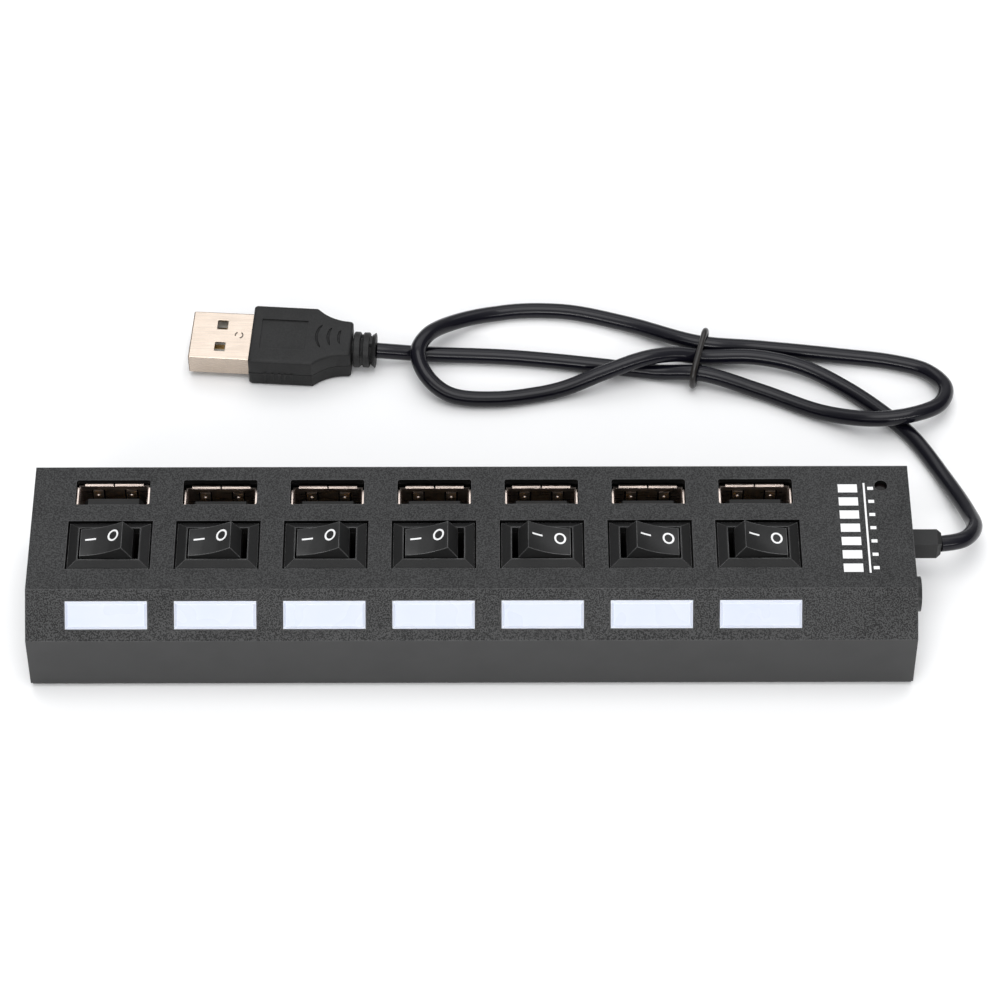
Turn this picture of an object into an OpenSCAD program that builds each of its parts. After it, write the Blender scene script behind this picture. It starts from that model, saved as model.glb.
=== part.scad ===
// Seven-port powered USB hub: a long bar with seven upright sockets, a rocker switch
// and a lit window for each socket, and a short cord with a type A plug.
// Millimetres, +Z up. The origin is under the middle of the bar, on the surface it
// stands on. +X runs along the bar to the cord end, -Y is the front with the windows.

/* [Body] */
// Length of the bar at its top edge
body_l = 163.5; // [163:0.5:168]
// Depth of the bar, front face to back face
body_d = 35.5; // [35:0.5:38]
// Height of the bar above the surface it stands on
body_h = 21; // [20.8:0.1:22]
// How much longer each end is at the bottom, as mould draft
end_draft = 0.35; // [0:0.05:0.6]
// Depth of the sloping window face, measured along Y
slope_d = 6.9; // [6.6:0.1:7.2]
// Height of the sloping window face, measured along Z
slope_h = 6.7; // [6.4:0.1:7]
// Thickness of the side walls
wall = 1.8; // [1.6:0.1:2]
// Thickness of the top wall
top_wall = 2; // [1.8:0.1:2.2]

/* [Rows] */
// Number of ports, each with its own switch and window
ports = 7; // [7]
// Distance between neighbouring ports
pitch = 20; // [20:0.1:20.4]
// Middle of the first port, along X
first_x = -67; // [-67.5:0.5:-66.5]
// Middle of the sockets, measured from the back face
socket_from_back = 6; // [5.8:0.1:6.2]
// Middle of the switches, measured from the back face
switch_from_back = 18.35; // [18.2:0.05:18.6]

/* [Sockets] */
// Opening in the top wall, along X
port_w = 13.8; // [13.7:0.1:14]
// Opening in the top wall, along Y
port_d = 5.8; // [5.8:0.1:6]
// How far the mouth of a socket lies below the top face
mouth_drop = 1.9; // [1.8:0.05:2]

/* [Switches] */
// Length of the switch frame that shows in the top face
frame_l = 15; // [14.9:0.1:15.2]
// Width of the switch frame
frame_w = 10.5; // [10.3:0.1:10.6]
// Half of a rocker's swing, in degrees
rocker_tilt = 17; // [15:0.5:17]
// Half of a contact blade's swing, in degrees
blade_tilt = 10; // [8:0.5:10]

/* [Windows] */
// Length of a window
window_l = 15.1; // [14.9:0.1:15.3]
// Width of a window, measured along the slope
window_w = 5.2; // [4.9:0.1:5.3]
// How far a window stands proud of the slope
window_proud = 0.25; // [0.1:0.05:0.4]

/* [Cord] */
// Diameter of the cord
cord_d = 3.1; // [3:0.05:3.1]
// Thickness of the wire tie
tie_d = 1.2; // [1:0.1:1.2]

/* [Plug] */
// Width of the metal plug shell
plug_w = 12; // [12]
// Thickness of the metal plug shell
plug_t = 4.5; // [4.5]
// Length of shell that shows in front of the grip
plug_l = 11.9; // [11.75:0.05:12]
// Width of the plug's grip
grip_w = 14.6; // [14.4:0.1:15.6]
// Thickness of the plug's grip
grip_t = 7.1; // [7:0.1:7.2]

/* [Hidden] */

$fn = 48;
eps = 0.01;       // overrun of a cutter past the face it cuts
cut = 1;          // longer overrun, where there is room for it

// Levels, from the surface up
foot_proud = 0.5;                   // underside of the base cover
skirt_z = 1.2;                      // lower edge of the top housing
base_top = 2.6;                     // inner face of the base cover
board_t = 1.6;
board_z = 4.1;                      // underside of the circuit board
board_top = board_z + board_t;
roof_z = body_h - top_wall;         // underside of the top wall

// Faces and rows
half_l = body_l / 2;
half_d = body_d / 2;
slope_y = -half_d + slope_d;        // upper edge of the sloping face
slope_angle = atan(slope_h / slope_d);
window_y = -half_d + slope_d / 2;
window_z = body_h - slope_h / 2;
socket_y = half_d - socket_from_back;
switch_y = half_d - switch_from_back;
function port_x(k) = first_x + (k - 1) * pitch;

// Case screws: three along the bar, in two rows
screw_xs = [port_x(1.5), port_x(4.5), port_x(7.5)];
screw_ys = [-8, 12];
boss_d = 4.6;
boss_bore = 2.1;
shoulder_d = 6.4;                   // boss shoulder that holds the board down
shoulder_top = 9;
screw_d = 2;
screw_head_d = 4.2;
screw_head_h = 1.2;
counterbore_d = 4.7;
counterbore_h = 1.4;

// Sockets
shell_t = 0.3;
socket_w = 12.5;                    // inside of the socket, along X
socket_d = 5.12;                    // inside of the socket, along Y
mouth_z = body_h - mouth_drop;
shell_z = board_top + 0.2;
lip_h = 0.35;
lip_out = 0.22;
lip_notch = 0.3;                    // gap in the middle of a long lip
port_corner = 0.5;                  // radius of the opening's corners
pocket_w = 15.2;                    // relief under the top wall, round a socket
pocket_d = 7.4;
finger_w = 1.9;                     // spring fingers, two in each broad wall
finger_x = 3.1;
finger_root_z = mouth_z - 8.4;
finger_crest_z = mouth_z - 2.8;
finger_bow = 0.45;
// How much higher than the lowest ones the sockets are soldered
socket_lifts = [0.85, 0, 0, 0, 0, 0, 0.3];
tongue_w = 11.1;
tongue_t = 1.84;
tongue_front = 0.72;                // gap between the tongue and the front wall
tongue_tip_z = mouth_z - 0.9;
socket_block_top = 8.6;
contact_w = 1;
contact_t = 0.3;
contact_xs = [-3.5, -1, 1, 3.5];

// Switches
recess_gap = 0.35;                  // play around the switch frame
recess_h = 1.4;                     // depth of the recess that the frame sits in
seat_t = 1.3;                       // wall under the recess
seat_z = body_h - recess_h;
frame_edge_z = body_h - 0.4;        // outer edge of the sloping frame
frame_ridge_z = body_h + 0.4;       // its ridge, round the opening
body_x = 6.7;                       // half sizes of the switch body
body_y = 4.4;
body_floor_z = 8.6;
cavity_x = 6.1;
cavity_y = 3.65;
cavity_z = 10;
lip_x = 5.6;                        // half sizes of the opening in the frame
lip_y = 3.6;
ridge_flat = 0.2;                   // flat along the frame's ridge
pivot_z = frame_ridge_z - 2.8;
trunnion_d = 1.8;
running_gap = 0.05;                 // radial play of a pivot
trunnion_reach = 4.25;
blade_z = 11;                       // axis of the contact blade
blade_d = 1;
blade_vee = 12;                     // rise of each arm of the blade, in degrees
plunger_d = 1.4;
terminal_x = 4;                     // end terminal, from the middle one
contact_z = 10.95;                  // top of the end contact
barb_top = 17.9;
ridge_x = 4.1;                      // rocker ridge, from the pivot
ridge_z = 4.5;
ridge_y = 3.05;                     // half length of a ridge
skirt_x = 5;                        // widest line of the rocker, from the pivot
skirt_y = 3.3;
rocker_skirt_z = 1.4;
plunger_tip = 6.9;                  // reach of the plunger below the pivot
dish_sag = 0.5;                     // hollow of the rocker's top
dish_r = (ridge_x * ridge_x + dish_sag * dish_sag) / (2 * dish_sag);
left_down = 4;                      // switches 1 to 4 are pressed at their left side
function rocker_rest(k) = k <= left_down ? -rocker_tilt : rocker_tilt;
function blade_rest(k) = k <= left_down ? blade_tilt : -blade_tilt;

// Power inlet and cord entry in the right end
jack_y = -3.4;
jack_z = 9.1;
jack_nose_d = 6.6;
jack_hole_d = 6.9;
jack_bore_d = 3.6;
jack_pin_d = 1.3;
jack_reach = half_l + 2;
jack_body_x = [69.5, 79.4];
entry_y = 8.5;
entry_z = 9;
entry_w = 3.6;
entry_h = 4.3;
entry_gap = 0.15;
relief_end = 88.5;
led_x = 76.5;
led_y = 13.05;
led_hole_d = 2.4;

// Cord route, from the strain relief to the plug
route = [
    [88.5, 8.5, 9], [93, 9.9, 8.5], [95.6, 14.4, 6.4], [95, 20, 4.1],
    [91.4, 30.4, 1.8], [86, 40.6, 1.6], [80.4, 47, 1.6], [73.8, 52.8, 1.8],
    [65.4, 57.8, 2.4], [56, 60, 2.9], [46, 60, 3], [40, 59.4, 4.5],
    [34, 57.7, 5.2], [26, 55.1, 4], [17, 52.5, 1.8], [5, 50.4, 1.6],
    [-4.6, 51.2, 2.1], [-9.2, 54.6, 4], [-10.8, 59, 5.7], [-9, 63.4, 5.7],
    [-4, 68.6, 3.5], [5, 72.7, 1.6], [18, 73.2, 1.6], [31, 69.8, 1.7],
    [45, 63.7, 2.95], [57, 63.4, 1.7], [73, 61.4, 1.6], [84, 59.6, 1.6],
    [90.1, 57.1, 1.9], [93.3, 52.2, 2.8], [91.8, 46.9, 4.1], [86.8, 43.7, 4.9],
    [79, 42.9, 4.3], [69, 46.4, 2], [57, 52.1, 1.7], [45.5, 55.6, 3],
    [36, 57.3, 1.6], [9, 61, 1.6], [-9, 61.7, 2], [-19, 61.3, 3.6]];
route_steps = 2;                    // rings for each stretch between two points
cord_sides = 8;
plug_exit = [-19, 61.3, 3.6];
plug_angle = -3.9;

// Wire tie round the three strands
tie_x = 45;
tie_y = 59.65;
tie_z = 3.05;
tie_lean = -14;
tie_half_l = 4.1;                   // half of its straight run
tie_bend = cord_d / 2 + tie_d / 2 + 0.3;

// Plug lengths, measured from the cord's end towards the tip
boot_l = 4.8;
grip_end = 25;
neck_w = 8.6;
boot_d = 7;
boot_core_d = 5;
boot_rings = [[-4.8, 1.2], [-3.2, 1.2], [-0.9, 0.9]];   // start and width of each ring
panel_l = 9.4;                      // recessed panel on the grip
panel_w = 7.2;
grooves = [[-11.8, 6], [-9.5, 4.7], [-7.4, 3.5]];   // left end and length of each groove
groove_r = 5;
groove_t = 0.5;
relief = 0.3;                       // depth of the panel and of the grooves
fit_gap = 0.03;                     // play round the parts inside the plug
plug_tongue_t = 1.7;
shell_metal = 0.3;
hidden_shell = 3;                   // length of shell inside the grip

// Colours
case_colour = [0.27, 0.27, 0.28];
base_colour = [0.2, 0.2, 0.21];
switch_colour = [0.12, 0.12, 0.13];
nickel = [0.8, 0.76, 0.7];
board_colour = [0.05, 0.3, 0.16];
rubber_colour = [0.1, 0.1, 0.11];

// ---------------------------------------------------------------- shared shapes

// A block whose four sides slope: half sizes at its foot and at its top
module tapered_block(foot, top, z0, z1) {
    intersection() {
        rotate([90, 0, 0])
            linear_extrude(4 * max(foot[1], top[1]), center = true)
                polygon([[-foot[0], z0], [foot[0], z0], [top[0], z1], [-top[0], z1]]);
        rotate([90, 0, 90])
            linear_extrude(4 * max(foot[0], top[0]), center = true)
                polygon([[-foot[1], z0], [foot[1], z0], [top[1], z1], [-top[1], z1]]);
    }
}

// A block centred in X and Y, standing on z0
module block(w, d, z0, z1) {
    translate([-w / 2, -d / 2, z0]) cube([w, d, z1 - z0]);
}

// A block with its four upright edges rounded
module soft_block(w, d, r, z0, z1) {
    block(w - 2 * r, d, z0, z1);
    block(w, d - 2 * r, z0, z1);
    for (x = [-1, 1], y = [-1, 1])
        translate([x * (w / 2 - r), y * (d / 2 - r), 0]) rod(2 * r, z0, z1);
}

// An upright rod between two levels
module rod(d, z0, z1) {
    translate([0, 0, z0]) cylinder(d = d, h = z1 - z0);
}

// A rod along X between two places
module rod_x(d, x0, x1) {
    translate([x0, 0, 0]) rotate([0, 90, 0]) cylinder(d = d, h = x1 - x0);
}

// The window's own frame: its middle on the slope, +Z out of the slope
module on_slope(k) {
    translate([port_x(k), window_y, window_z]) rotate([slope_angle, 0, 0]) children();
}

module at_screws() {
    for (x = screw_xs, y = screw_ys) translate([x, y, 0]) children();
}

// ---------------------------------------------------------------- casing

// Cross-section of the bar, shrunk by a wall thickness
module bar_section(inset, foot, roof) {
    knee = inset * tan((90 - slope_angle) / 2);
    polygon([
        [-half_d + inset, foot],
        [half_d - inset, foot],
        [half_d - inset, roof],
        [slope_y + inset / sin(slope_angle) - (body_h - roof) * slope_d / slope_h, roof],
        [-half_d + inset, body_h - slope_h - knee]]);
}

module bar_solid(inset, foot, roof) {
    intersection() {
        rotate([90, 0, 90])
            linear_extrude(2 * body_l, center = true) bar_section(inset, foot, roof);
        rotate([90, 0, 0])
            linear_extrude(2 * body_d, center = true)
                polygon([
                    [-half_l - end_draft + inset, 0], [half_l + end_draft - inset, 0],
                    [half_l - inset, body_h], [-half_l + inset, body_h]]);
    }
}

module top_housing() {
    color(case_colour) difference() {
        union() {
            difference() {
                bar_solid(0, skirt_z, body_h);
                difference() {
                    bar_solid(wall, skirt_z - cut, roof_z);
                    for (k = [1:ports])
                        translate([port_x(k), switch_y, 0])
                            block(frame_l + 3, frame_w + 2.6, seat_z - seat_t, body_h);
                }
            }
            at_screws() {
                rod(boss_d, base_top + 0.05, roof_z + eps);
                rod(shoulder_d, board_top + 0.05, shoulder_top);
            }
        }
        for (k = [1:ports]) {
            translate([port_x(k), socket_y, 0]) {
                soft_block(port_w, port_d, port_corner, seat_z, body_h + cut);
                block(pocket_w, pocket_d, roof_z - cut, body_h - 1);
            }
            translate([port_x(k), switch_y, 0]) {
                block(frame_l + 2 * recess_gap, frame_w + 2 * recess_gap,
                    seat_z, body_h + cut);
                block(2 * body_x + 0.2, 2 * body_y + 0.2, seat_z - seat_t - cut, body_h);
            }
            on_slope(k) {
                block(window_l + 0.2, window_w + 0.2, -3, cut);
            }
        }
        at_screws() rod(boss_bore, base_top - cut, 14);
        translate([led_x, led_y, 0]) rod(led_hole_d, roof_z - cut, body_h + cut);
        translate([0, jack_y, jack_z]) rod_x(jack_hole_d, half_l - 4, half_l + 4);
        translate([half_l - 4, entry_y - entry_w / 2 - entry_gap,
                entry_z - entry_h / 2 - entry_gap])
            cube([8, entry_w + 2 * entry_gap, entry_h + 2 * entry_gap]);
    }
}

foot_xs = [-72, 72];
foot_y = 13.2;
foot_d = 6;

module base_cover() {
    inset = 0.35;
    color(base_colour) difference() {
        union() {
            bar_plate(inset, foot_proud, skirt_z - 0.05);
            bar_plate(wall + 0.25, foot_proud, base_top);
            at_screws() rod(7.6, base_top - eps, board_z - 0.05);
        }
        at_screws() {
            rod(counterbore_d, 0, foot_proud + counterbore_h);
            rod(2.6, 0, base_top + cut);
            rod(5, base_top, board_z + cut);
        }
        for (x = foot_xs, y = [-foot_y, foot_y])
            translate([x, y, 0]) rod(foot_d + 0.2, 0, foot_proud + 0.5);
    }
}

module bar_plate(inset, z0, z1) {
    half_x = half_l + end_draft - inset;
    translate([-half_x, -half_d + inset, z0])
        cube([2 * half_x, body_d - 2 * inset, z1 - z0]);
}

module rubber_feet() {
    color(rubber_colour)
        for (x = foot_xs, y = [-foot_y, foot_y])
            translate([x, y, 0]) rod(foot_d, 0, foot_proud + 0.45);
}

module case_screws() {
    head_z = foot_proud + counterbore_h - screw_head_h;
    color("silver") at_screws() difference() {
        union() {
            rod(screw_head_d, head_z, head_z + screw_head_h);
            rod(screw_d, head_z, 11);
        }
        block(2.4, 0.5, 0, head_z + 0.8);
        block(0.5, 2.4, 0, head_z + 0.8);
    }
}

// ---------------------------------------------------------------- circuit board

board_half_l = 79.2;
board_y = [-15, 15.3];

module circuit_board() {
    color(board_colour) difference() {
        translate([-board_half_l, board_y[0], board_z])
            cube([2 * board_half_l, board_y[1] - board_y[0], board_t]);
        at_screws() rod(5.2, 0, board_top + cut);
        for (k = [1:ports]) {
            translate([port_x(k), socket_y, 0])
                for (x = contact_xs)
                    translate([x, 0.15, 0]) rod(1.1, 0, board_top + cut);
            translate([port_x(k), switch_y, 0])
                for (x = [0, terminal_x])
                    translate([x, 0, 0]) block(1.2, 3, 0, board_top + cut);
        }
    }
}

module controller_chips() {
    color([0.08, 0.08, 0.09])
        for (x = [port_x(2.5), port_x(5.5)])
            translate([x, -9.6, 0]) {
                block(10, 3.9, board_top + 0.15, board_top + 1.6);
                for (i = [-3.5:3.5], s = [-1, 1])
                    translate([i * 1.27, s * 2.4, 0])
                        block(0.45, 1.2, board_top, board_top + 0.5);
            }
}

module crystals() {
    color("silver")
        for (x = [port_x(3.5), port_x(6.5)])
            translate([x, -9.6, 0]) union() {
                block(6.6, 4.4, board_top, board_top + 3.4);
                for (s = [-1, 1])
                    translate([s * 3.3, 0, 0]) rod(4.4, board_top, board_top + 3.4);
            }
}

module capacitors() {
    color([0.12, 0.12, 0.3])
        for (y = [4.6, -1.4])
            translate([port_x(7.5) + 2.6, y, 0]) union() {
                rod(5, board_top, board_top + 5.4);
                rod(4.5, board_top + 5.4 - eps, board_top + 5.6);
            }
}

module resistors() {
    color([0.15, 0.15, 0.15])
        for (k = [1:ports], s = [-1, 1])
            translate([port_x(k) + s * 4.4, -12.9, 0])
                block(1.25, 2, board_top, board_top + 0.55);
}

// An upright round lamp on two leads
module lamp(z0, z1, lens_d) {
    rod(lens_d + 0.6, z0, z0 + 0.8);
    rod(lens_d, z0 + 0.8 - eps, z1);
    for (s = [-1, 1])
        translate([s * 1.27 / 2, 0, 0]) block(0.45, 0.45, board_top, z0 + eps);
}

module port_leds() {
    color([0.85, 0.9, 1])
        for (k = [1:ports]) translate([port_x(k), -12.9, 0]) lamp(8, 12.2, 3);
}

module power_led() {
    color([0.9, 0.5, 0.5])
        translate([led_x, led_y, 0]) union() {
            lamp(13.2, 18, 3);
            rod(led_hole_d - 0.3, 18 - eps, body_h - 0.9);
        }
}

// ---------------------------------------------------------------- sockets

// One bent edge of the socket's mouth, flaring away from the opening
module mouth_lip(len, gap) {
    for (s = [-1, 1])
        translate([s * (len + gap) / 4, 0, 0]) rotate([90, 0, 90])
            linear_extrude((len - gap) / 2, center = true)
                polygon([
                    [0, mouth_z - lip_h], [shell_t, mouth_z - lip_h],
                    [shell_t + lip_out, mouth_z], [lip_out, mouth_z]]);
}

// A spring finger cut from the wall and bowed into the socket
module spring_finger() {
    tip_z = finger_crest_z + 1.2;
    rotate([90, 0, 90]) linear_extrude(finger_w, center = true)
        polygon([
            [0, finger_root_z], [shell_t, finger_root_z],
            [shell_t - finger_bow, finger_crest_z], [shell_t - 0.1, tip_z],
            [-0.1, tip_z], [-finger_bow, finger_crest_z - 0.1]]);
    // dimple that presses on the plug
    translate([0, 0.35 - finger_bow, finger_crest_z]) sphere(d = 1);
}

module port_shell(k) {
    outer_w = socket_w + 2 * shell_t;
    outer_d = socket_d + 2 * shell_t;
    lift = socket_lifts[k - 1];
    color(nickel) translate([port_x(k), socket_y, lift]) {
        difference() {
            block(outer_w, outer_d, shell_z, mouth_z - lip_h + eps);
            block(socket_w, socket_d, shell_z - cut, mouth_z + cut);
            for (x = [-finger_x, finger_x])
                translate([x, 0, 0])
                    block(finger_w + 0.6, 2 * outer_d, finger_root_z, finger_crest_z + 1.4);
        }
        for (x = [-finger_x, finger_x], a = [0, 180])
            rotate([0, 0, a])
                translate([x, socket_d / 2, 0]) spring_finger();
        for (a = [0, 180])
            rotate([0, 0, a]) translate([0, socket_d / 2, 0]) mouth_lip(10.9, lip_notch);
        for (a = [90, 270])
            rotate([0, 0, a]) translate([0, socket_w / 2, 0]) mouth_lip(3.9, 0);
        // mounting tabs through the board's edge clearance
        for (s = [-1, 1])
            translate([s * (outer_w - shell_t) / 2, 0, 0])
                block(shell_t, 2.2, board_top - lift, shell_z + eps);
    }
}

module port_tongues() {
    face_y = -socket_d / 2 + tongue_front;
    color([0.16, 0.16, 0.17])
        for (k = [1:ports])
            translate([port_x(k), socket_y, socket_lifts[k - 1]]) union() {
                block(socket_w - 0.2, socket_d - 0.2, shell_z, socket_block_top);
                translate([0, face_y, 0]) rotate([90, 0, 180])
                    linear_extrude(tongue_t)
                        polygon([
                            [-tongue_w / 2, socket_block_top - 0.5],
                            [tongue_w / 2, socket_block_top - 0.5],
                            [tongue_w / 2, tongue_tip_z - 1],
                            [tongue_w / 2 - 0.8, tongue_tip_z],
                            [-tongue_w / 2 + 0.8, tongue_tip_z],
                            [-tongue_w / 2, tongue_tip_z - 1]]);
            }
}

module port_contacts() {
    strip_y = -socket_d / 2 + tongue_front + tongue_t;
    color([0.85, 0.7, 0.35])
        for (k = [1:ports], x = contact_xs)
            translate([port_x(k) + x - contact_w / 2, socket_y + strip_y,
                    socket_block_top + socket_lifts[k - 1]])
                cube([contact_w, contact_t, tongue_tip_z - 0.5 - socket_block_top]);
}

// ---------------------------------------------------------------- switches

module switch_body(k) {
    color(switch_colour) translate([port_x(k), switch_y, 0]) difference() {
        union() {
            block(frame_l, frame_w, seat_z, frame_edge_z + eps);
            tapered_block([frame_l / 2, frame_w / 2],
                [lip_x + ridge_flat, lip_y + ridge_flat], frame_edge_z, frame_ridge_z);
            block(2 * body_x, 2 * body_y, body_floor_z, seat_z + eps);
            // snap barbs under the seat, at the two ends
            for (a = [0, 180])
                rotate([0, 0, a]) translate([body_x - eps, 0, 0])
                    rotate([90, 0, 0]) linear_extrude(4, center = true)
                        polygon([[0, barb_top - 4], [0, barb_top], [0.45, barb_top]]);
        }
        block(2 * cavity_x, 2 * cavity_y, cavity_z, seat_z + 0.2);
        block(2 * lip_x, 2 * lip_y, seat_z, frame_ridge_z + cut);
        // bores for the rocker's trunnions
        translate([0, 0, pivot_z]) rotate([90, 0, 0])
            cylinder(d = trunnion_d + 2 * running_gap, h = 4 * body_y, center = true);
        // slots for the two terminals
        for (x = [0, terminal_x])
            translate([x, 0, 0]) block(0.9, 2.7, body_floor_z - cut, cavity_z + cut);
    }
}

// A rocker about its own pivot, level
module rocker_level() {
    belly_z = -0.9;
    stem_z = -3.6;
    difference() {
        intersection() {
            rotate([90, 0, 0]) linear_extrude(8, center = true)
                polygon([
                    [-ridge_x, ridge_z], [-skirt_x, rocker_skirt_z], [-4.5, -0.6],
                    [-1.7, belly_z], [-1.4, stem_z], [1.4, stem_z], [1.7, belly_z],
                    [4.5, -0.6], [skirt_x, rocker_skirt_z], [ridge_x, ridge_z]]);
            rotate([90, 0, 90]) linear_extrude(12, center = true)
                polygon([
                    [-ridge_y, ridge_z], [-skirt_y, rocker_skirt_z], [-skirt_y, stem_z - 1],
                    [skirt_y, stem_z - 1], [skirt_y, rocker_skirt_z], [ridge_y, ridge_z]]);
        }
        translate([0, 0, ridge_z - dish_sag + dish_r]) rotate([90, 0, 0])
            cylinder(r = dish_r, h = 10, center = true, $fn = 160);
        // bore for the spring and its plunger
        rod(plunger_d + 0.1, stem_z - cut, 0);
    }
    rotate([90, 0, 0]) cylinder(d = trunnion_d, h = 2 * trunnion_reach, center = true);
}

// Plunger that presses on the contact blade, held in the rocker's bore
module plunger() {
    tip_z = -plunger_tip + plunger_d / 2;
    rod(plunger_d, tip_z, -2.2);
    translate([0, 0, tip_z]) sphere(d = plunger_d);
}

module rocker(k) {
    color(switch_colour)
        translate([port_x(k), switch_y, pivot_z]) rotate([0, rocker_rest(k), 0]) {
            rocker_level();
            plunger();
        }
}

// A shallow vee of spring metal that rocks on the middle terminal
module contact_blade(k) {
    reach = 4.6;
    rise = reach * tan(blade_vee);
    color([0.8, 0.6, 0.35])
        translate([port_x(k), switch_y, blade_z]) rotate([0, blade_rest(k), 0])
            union() {
                rotate([90, 0, 0]) linear_extrude(2.8, center = true)
                    polygon([
                        [-reach, 0.15 + rise], [0, 0.15], [reach, 0.15 + rise],
                        [reach, 0.5 + rise], [0, 0.5], [-reach, 0.5 + rise]]);
                rotate([90, 0, 0]) cylinder(d = blade_d, h = 2.8, center = true);
            }
}

module switch_terminals() {
    foot = board_z - 0.7;
    color([0.75, 0.68, 0.5])
        for (k = [1:ports])
            translate([port_x(k), switch_y, 0]) {
                // middle terminal, with the cradle that the blade rocks in
                difference() {
                    union() {
                        block(0.7, 2.5, foot, blade_z - 0.5);
                        block(1.5, 2.5, cavity_z, blade_z);
                    }
                    translate([0, 0, blade_z]) rotate([90, 0, 0])
                        cylinder(d = blade_d + 2 * running_gap, h = 6, center = true);
                    block(3, 4, blade_z - 0.1, blade_z + cut);
                }
                // end terminal, with its contact point
                translate([terminal_x, 0, 0]) union() {
                    block(0.7, 2.5, foot, cavity_z + 0.1);
                    block(1.2, 2.5, cavity_z, contact_z);
                }
            }
}

// ---------------------------------------------------------------- windows

module light_window(k) {
    rim = 0.6;
    color([0.95, 0.97, 1]) on_slope(k) {
        tapered_block([window_l / 2, window_w / 2],
            [window_l / 2 - rim, window_w / 2 - rim], -0.05, window_proud);
        block(window_l, window_w, -2.2, -0.05 + eps);
        // flange that holds it against the inside of the wall
        block(window_l + 1, window_w + 1, -2.9, -1.95);
        block(11, 3, -4.2, -2.9 + eps);
    }
}

// ---------------------------------------------------------------- right end

module dc_jack() {
    color([0.1, 0.1, 0.11]) translate([0, jack_y, jack_z]) difference() {
        union() {
            translate([jack_body_x[0], -3.9, board_top - jack_z])
                cube([jack_body_x[1] - jack_body_x[0], 7.8, 6.8]);
            rod_x(jack_nose_d, jack_body_x[1] - eps, jack_reach);
        }
        rod_x(jack_bore_d, jack_reach - 9, jack_reach + cut);
    }
}

module dc_jack_pin() {
    color(nickel) translate([0, jack_y, jack_z]) union() {
        rod_x(jack_pin_d, jack_reach - 9 + eps, jack_reach - 0.8);
        translate([jack_reach - 0.8, 0, 0]) sphere(d = jack_pin_d);
    }
}

module strain_relief() {
    taper = 0.5;
    x0 = half_l - wall - 1.4;
    color(rubber_colour) translate([0, entry_y, entry_z]) {
        translate([x0, -entry_w / 2, -entry_h / 2])
            cube([relief_end - 0.8 - x0, entry_w, entry_h]);
        rotate([0, 90, 0])
            tapered_block([entry_h / 2, entry_w / 2],
                [entry_h / 2 - taper, entry_w / 2 - taper], relief_end - 0.8 - eps, relief_end);
        // collar inside the wall
        translate([x0, -2.9, -3.2]) cube([1.2, 5.8, 6.4]);
    }
}

// Four insulated leads from the cord to the board
module cable_wires() {
    start = half_l - wall - 1.4;
    bend = 1.3;
    wire_d = 0.9;
    colours = ["red", "white", "green", "black"];
    rows = [[-0.6, 0.6, 4.4], [0.6, 0.6, 4.4], [-0.6, -0.6, 2.6], [0.6, -0.6, 2.6]];
    for (i = [0:3]) {
        y = entry_y + rows[i][0];
        z = entry_z + rows[i][1];
        run = rows[i][2];
        color(colours[i]) translate([start, y, z]) union() {
            rod_x(wire_d, -run, 0);
            translate([-run, 0, -bend]) rotate([90, 0, 0])
                rotate([0, 0, 90])
                    rotate_extrude(angle = 90) translate([bend, 0]) circle(d = wire_d);
            translate([-run - bend, 0, 0]) rod(wire_d, board_top - z, -bend);
        }
    }
}

// ---------------------------------------------------------------- cord

// A smooth curve through the route's points, even where their spacing changes
function spacing(a, b) = sqrt(norm(b - a));
function slope_at(a, b, c, own) =
    own * ((b - a) / spacing(a, b) - (c - a) / (spacing(a, b) + spacing(b, c))
        + (c - b) / spacing(b, c));
function curve_point(a, b, c, d, t) =
    let (own = spacing(b, c), m1 = slope_at(a, b, c, own), m2 = slope_at(b, c, d, own))
    lying(b + m1 * t + (3 * (c - b) - 2 * m1 - m2) * t * t
        + (2 * (b - c) + m1 + m2) * t * t * t);
// The table stops the cord from sagging any lower
function lying(p) = [p.x, p.y, max(p.z, cord_d / 2 + 0.02)];
// Past either end, the route is carried straight into the part that it leaves or enters
cord_start = [1, 0, 0];
cord_finish = [-cos(plug_angle), -sin(plug_angle), 0];
hidden_run = 3;
function route_at(i) =
    i < 0 ? route[0] - hidden_run * cord_start
    : i >= len(route) ? route[len(route) - 1] + hidden_run * cord_finish
    : route[i];
cord_line = [
    for (i = [0:len(route) - 2], s = [0:route_steps - 1])
        curve_point(route_at(i - 1), route_at(i), route_at(i + 1), route_at(i + 2),
            s / route_steps),
    route_at(len(route) - 1)];

function unit(v) = v / norm(v);
// The first and last rings lie flat on the faces that they meet
function cord_way(i) =
    i == 0 ? cord_start
    : i == len(cord_line) - 1 ? cord_finish
    : unit(cord_line[i + 1] - cord_line[i - 1]);
function cord_ring(i) =
    let (way = cord_way(i), side = unit(cross([0, 0, 1], way)), up = cross(way, side))
    [for (j = [0:cord_sides - 1])
        let (a = 360 * (j + 0.5) / cord_sides)
        cord_line[i] + cord_d / 2 * (cos(a) * side + sin(a) * up)];

module cord() {
    rings = len(cord_line);
    corners = [for (i = [0:rings - 1]) each cord_ring(i)];
    sides = [for (i = [0:rings - 2], j = [0:cord_sides - 1])
        [i * cord_sides + j, i * cord_sides + (j + 1) % cord_sides,
            (i + 1) * cord_sides + (j + 1) % cord_sides, (i + 1) * cord_sides + j]];
    first = [for (j = [cord_sides - 1:-1:0]) j];
    last = [for (j = [0:cord_sides - 1]) (rings - 1) * cord_sides + j];
    faces = concat([first], sides, [last]);
    color([0.1, 0.1, 0.11])
        polyhedron(corners, [for (f = faces) [for (n = [len(f) - 1:-1:0]) f[n]]]);
}

// Half of the tie's round end
module tie_end() {
    rotate([0, 90, 0]) rotate_extrude(angle = 180)
        translate([tie_bend, 0]) circle(d = tie_d, $fn = 24);
}

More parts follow.
